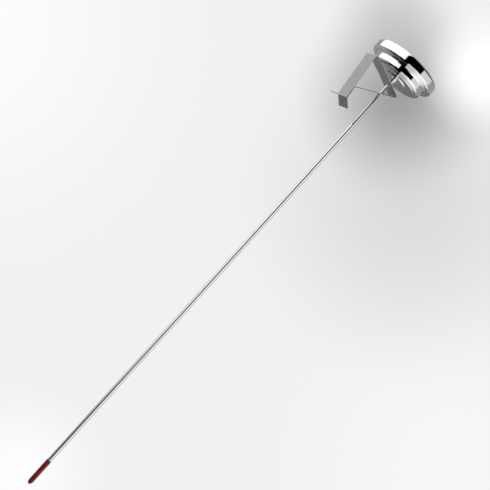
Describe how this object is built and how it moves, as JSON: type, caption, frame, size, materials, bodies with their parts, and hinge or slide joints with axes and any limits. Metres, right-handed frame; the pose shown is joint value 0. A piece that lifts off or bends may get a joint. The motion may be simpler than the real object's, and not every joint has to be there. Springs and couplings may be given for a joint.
{
  "type": "dial thermometer",
  "caption": "Long-stem bimetal dial thermometer with a chromed round head, a thin probe with a dark red end cap, and a folded strip clip for a pan's rim.",
  "frame": {"origin": "where the rim of a pan seats in the clip, midway between its two gripping leaves", "axes": "+Z along the stem towards the dial, +X from the stem out to the clip's outer leaf, +Y along the clip's width"},
  "size_m": [0.0546, 0.0528, 0.3954],
  "materials": {
    "chrome_head": "mirror polished",
    "lens_glass": "clear",
    "gasket_rubber": "matt",
    "dial_white": "satin enamel",
    "brass": "turned",
    "inner_steel": "turned",
    "seal_fibre": "matt",
    "stem_steel": "polished",
    "bimetal": "rolled strip",
    "pointer_black": "matt enamel",
    "tip_red": "satin",
    "clip_steel": "satin"
  },
  "bodies": {
    "clip": {"pan_clip": "clip_steel"},
    "thermometer": {"bezel_ring": "chrome_head", "case_cup": "chrome_head", "stem_boss": "chrome_head", "lens": "lens_glass", "lens_gasket": "gasket_rubber", "dial_spacer": "dial_white", "dial_face": "dial_white", "dial_posts": "brass", "dial_screws": "inner_steel", "stop_pin": "inner_steel", "stem_seal": "seal_fibre", "boss_nut": "inner_steel", "stem_tube": "stem_steel", "stem_plug": "stem_steel", "coil_anchor": "inner_steel", "bimetal_coil": "bimetal", "staff_guides": "brass", "upper_bush": "brass"},
    "movement": {"pointer": "pointer_black", "pointer_hub": "brass", "pointer_staff": "inner_steel", "coil_collar": "brass"},
    "tip": {"tip_cap": "tip_red"}
  },
  "joints": [
    {"name": "stem_slide", "type": "slide", "parent": "clip", "child": "thermometer", "axis": [0, 0, 1], "range_m": [0, 0.335]},
    {"name": "pointer_turn", "type": "hinge", "parent": "thermometer", "child": "movement", "pos_m": [-0.0231, 0, 0.038], "axis": [0, 0, -1], "range_deg": [-15, 292], "stiffness_Nm_per_rad": 0.00005, "deforming": ["bimetal_coil"]},
    {"name": "cap_pull", "type": "slide", "parent": "thermometer", "child": "tip", "axis": [0, 0, -1], "range_m": [0, 0.025]}
  ]
}
